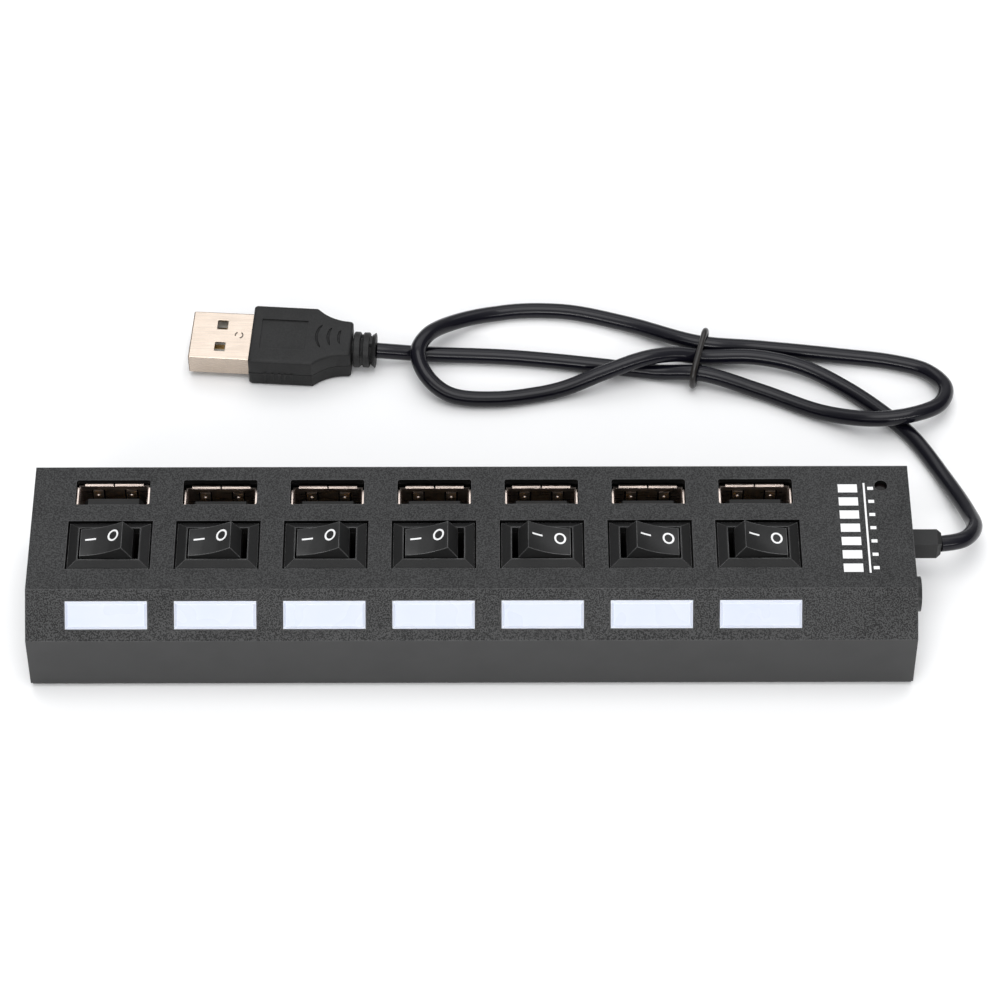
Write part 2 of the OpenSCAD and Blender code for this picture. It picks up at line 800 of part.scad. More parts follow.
module twist_tie() {
    color([0.09, 0.07, 0.06])
        translate([tie_x, tie_y, tie_z]) rotate([0, 0, tie_lean]) union() {
            translate([0, tie_half_l, 0]) tie_end();
            translate([0, -tie_half_l, 0]) mirror([0, 1, 0]) tie_end();
            for (z = [-tie_bend, tie_bend])
                translate([0, tie_half_l, z]) rotate([90, 0, 0])
                    cylinder(d = tie_d, h = 2 * tie_half_l, $fn = 24);
        }
}

// ---------------------------------------------------------------- plug

// The plug's own frame: the cord's end at the origin, the tip towards -X
module at_plug() {
    translate(plug_exit) rotate([0, 0, plug_angle]) children();
}

module plug_overmould() {
    half_w = grip_w / 2;
    hollow_r = 9.3;
    color([0.13, 0.13, 0.14]) at_plug() difference() {
        union() {
            // grip and neck, narrowing through two hollow flanks
            translate([0, 0, -grip_t / 2]) linear_extrude(grip_t)
                difference() {
                    translate([-grip_end, -half_w])
                        square([grip_end - boot_l, grip_w]);
                    for (s = [-1, 1])
                        translate([-boot_l - 0.4, s * (neck_w / 2 + hollow_r)])
                            circle(r = hollow_r, $fn = 96);
                }
            // ribbed boot round the cord
            for (ring = boot_rings) rod_x(boot_d, ring[0] - eps, ring[0] + ring[1]);
            rod_x(boot_core_d, -boot_l - eps, -0.45);
        }
        // pocket for the shell
        translate([-grip_end - cut, -plug_w / 2 - fit_gap, -plug_t / 2 - fit_gap])
            cube([hidden_shell + cut + fit_gap, plug_w + 2 * fit_gap, plug_t + 2 * fit_gap]);
        // shallow panel on the top
        translate([-grip_end + 1.6, -panel_w / 2, grip_t / 2 - relief])
            cube([panel_l, panel_w, cut]);
        // curved finger grooves
        for (g = grooves)
            translate([g[0] + groove_r, 0, grip_t / 2 - relief]) intersection() {
                difference() {
                    rod(2 * groove_r + groove_t, 0, cut);
                    rod(2 * groove_r - groove_t, -cut, 2 * cut);
                }
                translate([-groove_r - groove_t, -g[1] / 2, -eps])
                    cube([groove_r, g[1], cut]);
            }
    }
}

module plug_shell() {
    x0 = -grip_end - plug_l;
    color(nickel) at_plug() difference() {
        translate([x0, -plug_w / 2, -plug_t / 2])
            cube([plug_l + hidden_shell, plug_w, plug_t]);
        translate([x0 - cut, -plug_w / 2 + shell_metal, -plug_t / 2 + shell_metal])
            cube([plug_l + hidden_shell + 2 * cut, plug_w - 2 * shell_metal,
                plug_t - 2 * shell_metal]);
        // latch holes, in both broad faces
        for (y = [-2.85, 2.85])
            translate([x0 + 5, y - 1.15, -plug_t])
                cube([2, 2.3, 2 * plug_t]);
    }
}

module plug_tongue() {
    x0 = -grip_end - plug_l;
    play = shell_metal + fit_gap;
    color([0.93, 0.93, 0.9]) at_plug()
        translate([x0 + 0.6, -plug_w / 2 + play, -plug_t / 2 + play])
            cube([plug_l + hidden_shell - 0.8, plug_w - 2 * play, plug_tongue_t]);
}

module plug_contacts() {
    x0 = -grip_end - plug_l;
    top = -plug_t / 2 + shell_metal + fit_gap + plug_tongue_t;
    color([0.85, 0.7, 0.35]) at_plug()
        for (y = contact_xs)
            translate([x0 + (abs(y) > 2 ? 1.4 : 2.3), y - contact_w / 2, top])
                cube([7.4, contact_w, 0.15]);
}

// ---------------------------------------------------------------- printing

// Seven plain bars and a row of ticks beside them
module printed_legend() {
    print_t = 0.05;
    color("white") translate([0, 0, body_h]) {
        for (i = [0:6])
            translate([68.4, 11.4 - 3.1 * i, 0]) cube([3.6, 1.9, print_t]);
        translate([73.1, -7.4, 0]) cube([0.35, 21, print_t]);
        for (i = [0:6])
            translate([73.9, 12 - 3.1 * i, 0]) cube([1.1, 0.7, print_t]);
    }
}

// ---------------------------------------------------------------- nodes

top_housing();
base_cover();
circuit_board();
for (k = [1:ports]) {
    rocker(k);
    contact_blade(k);
    switch_body(k);
    port_shell(k);
    light_window(k);
}
port_tongues();
port_contacts();
switch_terminals();
port_leds();
power_led();
controller_chips();
crystals();
capacitors();
resistors();
dc_jack();
dc_jack_pin();
strain_relief();
cable_wires();
cord();
twist_tie();
plug_overmould();
plug_shell();
plug_tongue();
plug_contacts();
case_screws();
rubber_feet();
printed_legend();
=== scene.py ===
"""The looks of a seven-port USB hub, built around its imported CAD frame. Metres throughout.

Order: frame, camera, cord, materials, CAD nodes, detailed pieces, floor and lights.
"""
import math

import bmesh
import bpy
from mathutils import Matrix, Vector


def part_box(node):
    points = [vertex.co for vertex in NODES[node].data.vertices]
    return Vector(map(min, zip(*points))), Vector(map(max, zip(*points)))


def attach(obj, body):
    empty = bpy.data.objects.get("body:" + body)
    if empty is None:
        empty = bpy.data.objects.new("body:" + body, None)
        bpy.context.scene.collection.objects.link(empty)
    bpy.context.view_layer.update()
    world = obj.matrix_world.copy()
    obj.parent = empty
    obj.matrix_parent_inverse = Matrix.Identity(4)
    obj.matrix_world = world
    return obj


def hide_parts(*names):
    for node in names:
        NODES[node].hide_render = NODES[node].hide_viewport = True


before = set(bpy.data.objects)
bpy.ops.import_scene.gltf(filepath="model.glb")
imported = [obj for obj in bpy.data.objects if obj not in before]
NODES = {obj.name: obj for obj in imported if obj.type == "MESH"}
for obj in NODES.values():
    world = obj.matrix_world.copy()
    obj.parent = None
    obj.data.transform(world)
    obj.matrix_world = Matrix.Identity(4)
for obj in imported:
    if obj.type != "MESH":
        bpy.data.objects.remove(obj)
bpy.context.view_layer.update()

MM = 0.001
PORTS = range(1, 8)
FIRST_PORT_X = -67          # millimetres
PORT_PITCH = 20
LAST_PRESSED_LEFT = 4       # rockers 1 to 4 are pressed at their left side, the others right


def port_x(k):
    return (FIRST_PORT_X + PORT_PITCH * (k - 1)) * MM


# ------------------------------------------------------------------ camera

def add_camera():
    """The photograph's viewing angle: high in front of the hub, through a long lens."""
    data = bpy.data.cameras.new("camera")
    data.sensor_width = 36
    data.lens = 133.66
    data.clip_start = 0.05
    camera = bpy.data.objects.new("camera", data)
    bpy.context.scene.collection.objects.link(camera)
    down, turn, roll = (math.radians(a) for a in (51.832, 0.352, 0.165))
    camera.matrix_world = (
        Matrix.Translation((0.002715, -0.41851, 0.56573))
        @ Matrix.Rotation(-turn, 4, "Z")
        @ Matrix.Rotation(math.pi / 2 - down, 4, "X")
        @ Matrix.Rotation(roll, 4, "Z"))
    bpy.context.scene.camera = camera


add_camera()


# ------------------------------------------------------------------ cord

CORD_D = 0.0031
ROUTE = [Vector(p) for p in (
    (0.0885, 0.0085, 0.009), (0.093, 0.0099, 0.0085), (0.0956, 0.0144, 0.0064),
    (0.095, 0.02, 0.0041), (0.0914, 0.0304, 0.0018), (0.086, 0.0406, 0.0016),
    (0.0804, 0.047, 0.0016), (0.0738, 0.0528, 0.0018), (0.0654, 0.0578, 0.0024),
    (0.056, 0.06, 0.0029), (0.046, 0.06, 0.003), (0.04, 0.0594, 0.0045),
    (0.034, 0.0577, 0.0052), (0.026, 0.0551, 0.004), (0.017, 0.0525, 0.0018),
    (0.005, 0.0504, 0.0016), (-0.0046, 0.0512, 0.0021), (-0.0092, 0.0546, 0.004),
    (-0.0108, 0.059, 0.0057), (-0.009, 0.0634, 0.0057), (-0.004, 0.0686, 0.0035),
    (0.005, 0.0727, 0.0016), (0.018, 0.0732, 0.0016), (0.031, 0.0698, 0.0017),
    (0.045, 0.0637, 0.00295), (0.057, 0.0634, 0.0017), (0.073, 0.0614, 0.0016),
    (0.084, 0.0596, 0.0016), (0.0901, 0.0571, 0.0019), (0.0933, 0.0522, 0.0028),
    (0.0918, 0.0469, 0.0041), (0.0868, 0.0437, 0.0049), (0.079, 0.0429, 0.0043),
    (0.069, 0.0464, 0.002), (0.057, 0.0521, 0.0017), (0.0455, 0.0556, 0.003),
    (0.036, 0.0573, 0.0016), (0.009, 0.061, 0.0016), (-0.009, 0.0617, 0.002),
    (-0.019, 0.0613, 0.0036))]
ROUTE_STEPS = 10
HIDDEN_RUN = 0.003          # how far the curve's end tangents reach inside the two ends
PLUG_TURN = math.radians(-3.9)
PLUG_FORWARD = Vector((-math.cos(PLUG_TURN), -math.sin(PLUG_TURN), 0))


def smooth_line(points, steps):
    """The same curve through the route's points as the CAD cord follows."""
    points = [points[0] - Vector((HIDDEN_RUN, 0, 0)), *points,
              points[-1] + HIDDEN_RUN * PLUG_FORWARD]

    def gap(a, b):
        return math.sqrt((b - a).length)

    def slope(a, b, c, own):
        return own * ((b - a) / gap(a, b) - (c - a) / (gap(a, b) + gap(b, c))
                      + (c - b) / gap(b, c))

    line = []
    for a, b, c, d in zip(points, points[1:], points[2:], points[3:]):
        own = gap(b, c)
        start, end = slope(a, b, c, own), slope(b, c, d, own)
        for step in range(steps):
            t = step / steps
            p = (b + start * t + (3 * (c - b) - 2 * start - end) * t * t
                 + (2 * (b - c) + start + end) * t ** 3)
            line.append(Vector((p.x, p.y, max(p.z, CORD_D / 2 + 0.02 * MM))))
    return line + [points[-2]]


def loft(bm, rings):
    """A closed skin over rings of points, each ring a closed outline of equal count."""
    rows = [[bm.verts.new(p) for p in ring] for ring in rings]
    count = len(rows[0])
    for a, b in zip(rows, rows[1:]):
        for i in range(count):
            j = (i + 1) % count
            bm.faces.new((a[i], a[j], b[j], b[i]))
    bm.faces.new(rows[0])
    bm.faces.new(rows[-1])


def tube_rings(points, radius, sides=24):
    """Circles square to a line of points, without twist."""
    up = Vector((0, 0, 1))
    rings = []
    for i, p in enumerate(points):
        ahead = (points[min(i + 1, len(points) - 1)] - points[max(i - 1, 0)]).normalized()
        side = ahead.cross(up).normalized()
        up = side.cross(ahead)
        turns = [2 * math.pi * j / sides for j in range(sides)]
        rings.append([p + radius * (math.cos(a) * side + math.sin(a) * up) for a in turns])
    return rings


def mesh_piece(name, build, smooth=30):
    """A new object whose mesh is filled in by build(bm)."""
    mesh = bpy.data.meshes.new(name)
    bm = bmesh.new()
    build(bm)
    bmesh.ops.recalc_face_normals(bm, faces=bm.faces)
    bm.to_mesh(mesh)
    bm.free()
    piece = bpy.data.objects.new(name, mesh)
    bpy.context.scene.collection.objects.link(piece)
    mesh.shade_smooth()
    mesh.set_sharp_from_angle(angle=math.radians(smooth))
    return piece


CORD_LINE = smooth_line(ROUTE, ROUTE_STEPS)
cord = mesh_piece("cord_jacket", lambda bm: loft(bm, tube_rings(CORD_LINE, CORD_D / 2)), 60)
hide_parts("cord")
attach(cord, "housing")


# ------------------------------------------------------------------ materials

class Surface:
    """One procedural material, built around a Principled shader."""

    def __init__(self, name, roughness=0.5, metallic=0.0, **sockets):
        self.material = bpy.data.materials.new(name)
        self.material.use_nodes = True
        self.tree = self.material.node_tree
        self.shader = self.tree.nodes["Principled BSDF"]
        self.set(Roughness=roughness, Metallic=metallic, **sockets)
        self.coordinates = self.add("ShaderNodeTexCoord").outputs["Object"]

    def set(self, **sockets):
        for name, value in sockets.items():
            self.shader.inputs[name.replace("_", " ")].default_value = value

    def add(self, kind, **settings):
        node = self.tree.nodes.new(kind)
        for name, value in settings.items():
            setattr(node, name, value)
        return node

    def link(self, source, target):
        self.tree.links.new(source, target)

    def noise(self, size, detail=2.0, stretch=(1, 1, 1)):
        """Noise whose features are about size metres wide."""
        scale = self.add("ShaderNodeMapping")
        scale.inputs["Scale"].default_value = [s / size for s in stretch]
        self.link(self.coordinates, scale.inputs["Vector"])
        node = self.add("ShaderNodeTexNoise")
        node.inputs["Scale"].default_value = 1
        node.inputs["Detail"].default_value = detail
        self.link(scale.outputs["Vector"], node.inputs["Vector"])
        return node.outputs["Fac"]

    def ranged(self, value, low, high, from_low=0.3, from_high=0.7):
        """The value's range from_low to from_high, stretched to low to high and clamped."""
        node = self.add("ShaderNodeMapRange")
        for name, number in (("From Min", from_low), ("From Max", from_high),
                             ("To Min", low), ("To Max", high)):
            node.inputs[name].default_value = number
        self.link(value, node.inputs["Value"])
        return node.outputs["Result"]

    def mixed(self, factor, first, second):
        """A colour between two, each a colour or another node's output."""
        node = self.add("ShaderNodeMix", data_type="RGBA")
        if isinstance(factor, float):
            node.inputs["Factor"].default_value = factor
        else:
            self.link(factor, node.inputs["Factor"])
        for name, colour in (("A", first), ("B", second)):
            socket = next(s for s in node.inputs if s.name == name and s.type == "RGBA")
            if isinstance(colour, tuple):
                socket.default_value = (*colour, 1)
            else:
                self.link(colour, socket)
        return next(s for s in node.outputs if s.type == "RGBA")

    def paint(self, colour):
        self.link(colour, self.shader.inputs["Base Color"])

    def polish(self, value):
        self.link(value, self.shader.inputs["Roughness"])

    def bump(self, value, depth):
        """Relief of the given depth in metres."""
        node = self.add("ShaderNodeBump")
        node.inputs["Distance"].default_value = depth
        self.link(value, node.inputs["Height"])
        self.link(node.outputs["Normal"], self.shader.inputs["Normal"])

    def worn_and_highlit_edges(self, radius):
        """1 on edges sharper than the radius and 0 elsewhere, broken up by noise: where edges are
        painted lighter, partly wear and partly a painted highlight.
        """
        rounded = self.add("ShaderNodeBevel", samples=4)
        rounded.inputs["Radius"].default_value = radius
        flat = self.add("ShaderNodeNewGeometry").outputs["Normal"]
        agree = self.add("ShaderNodeVectorMath", operation="DOT_PRODUCT")
        self.link(rounded.outputs["Normal"], agree.inputs[0])
        self.link(flat, agree.inputs[1])
        lit_worn_edge = self.ranged(agree.outputs["Value"], 1, 0, 0.9, 0.995)
        edge_patches = self.ranged(self.noise(4 * MM, 4), 0.35, 1)
        both = self.add("ShaderNodeMath", operation="MULTIPLY")
        self.link(lit_worn_edge, both.inputs[0])
        self.link(edge_patches, both.inputs[1])
        return both.outputs["Value"]


def grey(value, warmth=0.0):
    """A grey, a little redder where warmth is above 0 and a little bluer below it."""
    return (value * (1 + warmth), value, value * (1 - warmth))


def tinted(colour, factor):
    return tuple(c * factor for c in colour)


def moulded(name, colour, roughness, grain, depth, speckle=0.15, lit_worn_edge=None, spread=0.2,
            **sockets):
    """Moulded plastic or rubber: fine grain, faint clouding, and lighter edges, partly wear and
    partly a painted highlight.

    The grain's size and depth are in metres. Its flecks differ from the colour by speckle
    times the colour, and a smaller spread makes them sharper.
    """
    s = Surface(name, roughness, **sockets)
    fine = s.noise(grain, 3)
    clouds = s.noise(14 * MM, 3)
    cloudy = s.mixed(clouds, tinted(colour, 1 - speckle / 2), tinted(colour, 1 + speckle / 2))
    flecks = s.mixed(s.ranged(fine, 0, 1, 0.5 - spread, 0.5 + spread),
                     tinted(colour, max(0, 1 - speckle)), tinted(colour, 1 + speckle))
    base = s.mixed(0.6, cloudy, flecks)
    # painted highlight and wear: sharp edges take the lighter edge colour
    if lit_worn_edge is not None:
        base = s.mixed(s.worn_and_highlit_edges(0.18 * MM), base, lit_worn_edge)
    s.paint(base)
    s.polish(s.ranged(s.noise(5 * MM, 4), roughness - 0.05, roughness + 0.05))
    s.bump(fine, depth)
    return s.material


def plated(name, colour, roughness, scratch=True):
    """Plated metal: fine drawn scratches and faint tarnish."""
    s = Surface(name, roughness, 1.0)
    tarnish = s.ranged(s.noise(3 * MM, 4), 0, 1)
    s.paint(s.mixed(tarnish, tinted(colour, 0.93), colour))
    drawn = s.noise(0.3 * MM, 2, stretch=(0.06, 1, 1))
    s.polish(s.ranged(drawn, roughness - 0.05, roughness + 0.07))
    if scratch:
        s.bump(drawn, 0.0002 * MM)
    return s.material


def milky_window():
    """A milky moulded lens whose bevelled rim is painted paler, a painted highlight."""
    s = Surface("milky_lens", 0.28, IOR=1.49)
    body = s.mixed(s.ranged(s.noise(9 * MM, 1), 0, 1), (0.54, 0.58, 0.68), (0.555, 0.59, 0.68))
    # painted highlight: the lens's rim is painted near white
    s.paint(s.mixed(s.worn_and_highlit_edges(0.4 * MM), body, (0.82, 0.84, 0.88)))
    s.polish(s.ranged(s.noise(6 * MM, 1), 0.26, 0.3))
    s.bump(s.noise(5 * MM, 1), 0.004 * MM)
    s.set(Subsurface_Weight=0.25, Subsurface_Radius=(0.6, 0.7, 0.9), Subsurface_Scale=0.0012)
    return s.material


def masked_board():
    """Green solder mask over faint copper tracks."""
    s = Surface("solder_mask", 0.35, Coat_Weight=0.3)
    track = s.ranged(s.noise(1.5 * MM, 0, stretch=(0.15, 1, 1)), 0, 1, 0.49, 0.53)
    s.paint(s.mixed(track, (0.008, 0.10, 0.04), (0.015, 0.17, 0.07)))
    s.polish(s.ranged(s.noise(2 * MM, 2), 0.3, 0.42))
    s.bump(track, 0.02 * MM)
    return s.material


# After the speckle, the grey given is the lighter colour of the edges: partly wear, partly a
# painted highlight.
MAT = {
    "case_top": moulded("case_fine_grain", grey(0.015, -0.01), 0.5, 0.22 * MM, 0.035 * MM, 2.4,
                        grey(0.13), 0.08, Specular_IOR_Level=0.27),
    "case_slope": moulded("case_coarse_grain", grey(0.0125, -0.005), 0.46, 0.24 * MM, 0.12 * MM, 5,
                          grey(0.13), 0.04, Specular_IOR_Level=0.22),
    "case_smooth": moulded("case_smooth", grey(0.0195, -0.005), 0.42, 0.3 * MM, 0.002 * MM, 0.04,
                           grey(0.11), Specular_IOR_Level=0.42),
    # painted shade: a near-black copy of the case plastic for the faces down in the recesses
    "recess": moulded("recess_shade", grey(0.002), 0.6, 0.3 * MM, 0.002 * MM, 0.1,
                      Specular_IOR_Level=0.12),
    "base": moulded("base_plastic", grey(0.022), 0.5, 0.3 * MM, 0.006 * MM, 0.12, grey(0.05)),
    "switch": moulded("switch_plastic", grey(0.012), 0.38, 0.2 * MM, 0.006 * MM, 0.3, grey(0.22),
                      Specular_IOR_Level=0.3),
    "bezel": moulded("bezel_plastic", grey(0.008), 0.42, 0.22 * MM, 0.012 * MM, 0.5, grey(0.2),
                     Specular_IOR_Level=0.2),
    "rubber": moulded("black_rubber", grey(0.012), 0.5, 0.25 * MM, 0.012 * MM, 0.2, grey(0.03),
                      Specular_IOR_Level=0.35),
    "foot": moulded("foot_rubber", grey(0.03), 0.75, 0.3 * MM, 0.02 * MM, 0.25),
    "cord": moulded("cord_jacket", (0.0035, 0.0033, 0.0065), 0.2, 0.25 * MM, 0.002 * MM, 0.2,
                    Specular_IOR_Level=0.27),
    "tie": moulded("tie_plastic", (0.008, 0.006, 0.005), 0.3, 0.3 * MM, 0.01 * MM, 0.3),
    "grip": moulded("grip_moulding", grey(0.010), 0.52, 0.25 * MM, 0.025 * MM, 0.6, grey(0.03),
                    Specular_IOR_Level=0.28),
    "tongue": moulded("tongue_plastic", grey(0.008), 0.45, 0.3 * MM, 0.004 * MM, 0.1,
                      Specular_IOR_Level=0.25),
    "jack": moulded("jack_plastic", grey(0.012), 0.35, 0.3 * MM, 0.003 * MM, 0.1, grey(0.05)),
    "pale": moulded("pale_plastic", (0.72, 0.72, 0.68), 0.4, 0.4 * MM, 0.003 * MM, 0.05),
    "ink": moulded("white_ink", (0.78, 0.78, 0.78), 0.5, 0.15 * MM, 0.004 * MM, 0.06),
    "chip": moulded("chip_epoxy", grey(0.015), 0.55, 0.15 * MM, 0.008 * MM, 0.2),
    "sleeve": moulded("capacitor_sleeve", (0.012, 0.013, 0.05), 0.3, 1 * MM, 0.01 * MM, 0.2),
    "lens": moulded("lamp_lens", (0.7, 0.78, 0.9), 0.15, 1 * MM, 0.001 * MM, 0.05),
    "dark_lens": moulded("dark_lens", (0.004, 0.002, 0.002), 0.25, 1 * MM, 0.001 * MM, 0.05,
                        Specular_IOR_Level=0.2),
    "lead": moulded("wire_insulation", (0.25, 0.22, 0.2), 0.4, 0.5 * MM, 0.004 * MM, 0.1),
    "nickel": plated("nickel_plate", (0.68, 0.58, 0.52), 0.3, False),
    "shell": plated("plug_plate", (0.56, 0.475, 0.40), 0.26),
    # painted shade: the crimp's dark plate stands in for the shading of its stamped dimple
    "crimp": plated("crimp_painted_shade", (0.16, 0.14, 0.12), 0.3),
    "steel": plated("screw_steel", (0.45, 0.45, 0.46), 0.32),
    "brass": plated("spring_brass", (0.72, 0.52, 0.26), 0.28),
    "gold": plated("gold_plate", (0.83, 0.62, 0.3), 0.22),
    "window": milky_window(),
    "board": masked_board(),
}
cord.data.materials.append(MAT["cord"])


# ------------------------------------------------------------------ CAD nodes

def wear(node, *names):
    """Gives a CAD node its materials, with the first of them on every face."""
    piece = NODES[node]
    piece.data.materials.clear()
    for name in names:
        piece.data.materials.append(MAT[name])
    for face in piece.data.polygons:
        face.material_index = 0


def round_edges(node, width, segments=2, angle=30):
    """A CAD node's sharp edges, rounded as moulding leaves them."""
    piece = NODES[node]
    weld = piece.modifiers.new("weld", "WELD")
    weld.merge_threshold = 1e-6
    bevel = piece.modifiers.new("round", "BEVEL")
    bevel.width = width
    bevel.segments = segments
    bevel.limit_method = "ANGLE"
    bevel.angle_limit = math.radians(angle)
    bevel.use_clamp_overlap = True
    bevel.harden_normals = True


LOOKS = {
    "base_cover": "base", "circuit_board": "board", "port_tongues": "tongue",
    "port_contacts": "gold", "switch_terminals": "brass", "port_leds": "lens",
    "power_led": "dark_lens", "controller_chips": "chip", "crystals": "steel",
    "capacitors": "sleeve", "resistors": "chip", "dc_jack": "jack", "dc_jack_pin": "nickel",
    "strain_relief": "rubber", "cable_wires": "lead", "plug_shell": "shell",
    "plug_tongue": "pale", "plug_contacts": "gold", "case_screws": "steel",
    "rubber_feet": "foot", "printed_legend": "ink", "twist_tie": "tie", "plug_overmould": "grip",
}
for k in PORTS:
    LOOKS.update({f"rocker_{k}": "switch", f"contact_blade_{k}": "brass",
                  f"switch_body_{k}": "bezel", f"port_shell_{k}": "nickel",
                  f"light_window_{k}": "window"})
for node, look in LOOKS.items():
    wear(node, look)

LAMP = sum(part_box("power_led"), Vector()) / 2
TOP_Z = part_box("top_housing")[1].z
RECESS_FLOOR_Z = 17 * MM
# Middle in Y, and reach in X and Y, of the recesses round the switch frames and the sockets
RECESSES = ((-0.6 * MM, 8.2 * MM, 6 * MM), (11.75 * MM, 8 * MM, 4 * MM))
LAMP_HOLE_REACH = 2 * MM


def is_in_recess(place):
    """Whether a point of the housing lies round a switch frame, a socket or the lamp."""
    if place.z > RECESS_FLOOR_Z:
        for k in PORTS:
            for y, reach_x, reach_y in RECESSES:
                if abs(place.x - port_x(k)) < reach_x and abs(place.y - y) < reach_y:
                    return True
    return math.hypot(place.x - LAMP.x, place.y - LAMP.y) < LAMP_HOLE_REACH


def paint_housing():
    """Fine grain on the top face, coarse on the slope, smooth sides, and painted shade: faces down
    in the recesses get a near-black copy of the case plastic.
    """
    wear("top_housing", "case_smooth", "case_top", "case_slope", "recess")
    for face in NODES["top_housing"].data.polygons:
        if face.center.z < TOP_Z - 0.1 * MM and is_in_recess(face.center):
            # painted shade on the walls and floors round the switch frames, the sockets and the
            # lamp
            face.material_index = 3
        elif face.normal.z > 0.9:
            face.material_index = 1
        elif face.normal.z > 0.5 and face.normal.y < -0.5:
            face.material_index = 2


paint_housing()


# How far each node's edges are rounded, in millimetres
ROUNDED = {"top_housing": 0.16, "base_cover": 0.2, "strain_relief": 0.25, "plug_shell": 0.3,
           "dc_jack": 0.15, "circuit_board": 0.05}
for k in PORTS:
    ROUNDED.update({f"rocker_{k}": 0.12, f"switch_body_{k}": 0.12, f"light_window_{k}": 0.45,
                    f"port_shell_{k}": 0.06})
for node, width in ROUNDED.items():
    round_edges(node, width * MM)


# ------------------------------------------------------------------ pieces

def add_mesh(name, build, material, body):
    """A piece with its material, riding on a body."""
    piece = mesh_piece(name, build)
    piece.data.materials.append(MAT[material])
    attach(piece, body)
    return piece


# The rocker's hollow top, in its own frame: pivot at the origin, level
ROCKER_PIVOT = (-0.0006, 0.0186)    # y and z
ROCKER_TILT = math.radians(17)
DISH_LOW = 4.0 * MM                 # the hollow's lowest point, above the pivot
DISH_R = 17.06 * MM
MARK_X = 2.2 * MM                   # how far each mark's middle is from the pivot
MARK_Y = 0.55 * MM


def on_rocker(k):
    """From a rocker's own frame to where it rests."""
    tilt = -ROCKER_TILT if k <= LAST_PRESSED_LEFT else ROCKER_TILT
    place = Matrix.Translation((port_x(k), *ROCKER_PIVOT))
    return place @ Matrix.Rotation(tilt, 4, "Y")


def mark_strip(bm, inner, outer, matrix, closed):
    """A thin printed strip between two lines of points on the hollow top."""
    def lifted(x, y, up):
        return matrix @ Vector((x, y, DISH_LOW + DISH_R - math.sqrt(DISH_R ** 2 - x * x) + up))

    rows = []
    for line in (inner, outer):
        for up in (-0.03 * MM, 0.02 * MM):
            rows.append([bm.verts.new(lifted(x, y, up)) for x, y in line])
    low_in, top_in, low_out, top_out = rows
    count = len(inner)
    for i in range(count if closed else count - 1):
        j = (i + 1) % count
        bm.faces.new((top_in[i], top_in[j], top_out[j], top_out[i]))
        bm.faces.new((low_in[i], low_out[i], low_out[j], low_in[j]))
        bm.faces.new((top_out[i], top_out[j], low_out[j], low_out[i]))
        bm.faces.new((top_in[i], low_in[i], low_in[j], top_in[j]))
    if not closed:
        for i in (0, count - 1):
            bm.faces.new((low_in[i], top_in[i], top_out[i], low_out[i]))


def build_marks(bm, k):
    """The general on and off marks: a dash and a ring."""
    matrix = on_rocker(k)
    half, stroke = 1.02 * MM, 0.18 * MM
    xs = [-MARK_X + half * (2 * i / 6 - 1) for i in range(7)]
    mark_strip(bm, [(x, MARK_Y - stroke) for x in xs], [(x, MARK_Y + stroke) for x in xs],
               matrix, False)
    turns = [2 * math.pi * i / 48 for i in range(48)]
    rings = [[(MARK_X + rx * MM * math.cos(a), MARK_Y + ry * MM * math.sin(a)) for a in turns]
             for rx, ry in ((0.74, 0.9), (1.1, 1.27))]
    mark_strip(bm, *rings, matrix, True)


for k in PORTS:
    add_mesh(f"switch_marks_{k}", lambda bm: build_marks(bm, k), "ink", f"switch_rocker_{k}")


# The plug's moulded grip, in the plug's own frame: the cord's end at the origin, tip at -X
AT_PLUG = Matrix.Translation(ROUTE[-1]) @ Matrix.Rotation(PLUG_TURN, 4, "Z")
GRIP_X = (-24.9, -4.85)     # millimetres, as are the other numbers of the grip
GRIP_HALF_W = 7.35
GRIP_HALF_T = 3.55
NECK_HALF_W = 4.4
SHOULDER_X = -12.3          # where the straight front ends
FLANK_RUN = 7               # from there to where the neck begins
FLANK_R = 9.5
END_CORNER_R = 0.6
PARTING_Z = -0.1


def grip_half_width(x):
    """Straight at the front, then a hollow flank down to the neck."""
    run = x - (SHOULDER_X + FLANK_RUN)
    if x <= SHOULDER_X:
        return GRIP_HALF_W
    if run >= 0:
        return NECK_HALF_W
    hollow = NECK_HALF_W + FLANK_R - math.sqrt(FLANK_R ** 2 - run * run)
    return min(GRIP_HALF_W, hollow)


def corner_cut(gap, r):
    """How much a rounded corner takes off, at a distance from the end."""
    return r - math.sqrt(max(0, r * r - (r - gap) ** 2)) if gap < r else 0


def grip_ring(inset, z):
    """The grip's outline, drawn in by the inset."""
    x0, x1 = GRIP_X[0] + inset, GRIP_X[1] - inset
    bends = [0, 0.03, 0.08, 0.16, 0.28, 0.42, 0.6]
    inner = [SHOULDER_X - 1, SHOULDER_X - 0.3, SHOULDER_X - 0.05,
             *(SHOULDER_X + 0.05 + 5.3 * i / 12 for i in range(13))]
    xs = [x0 + b for b in bends] + [-22, -20, -18, -16, *inner] + [x1 - b for b in bends[::-1]]
    side = [(x, grip_half_width(x) - inset - corner_cut(x - x0, END_CORNER_R)
             - corner_cut(x1 - x, END_CORNER_R)) for x in xs]
    ring = side + [(x, -y) for x, y in side[::-1]]
    return [AT_PLUG @ Vector((x * MM, y * MM, z * MM)) for x, y in ring]


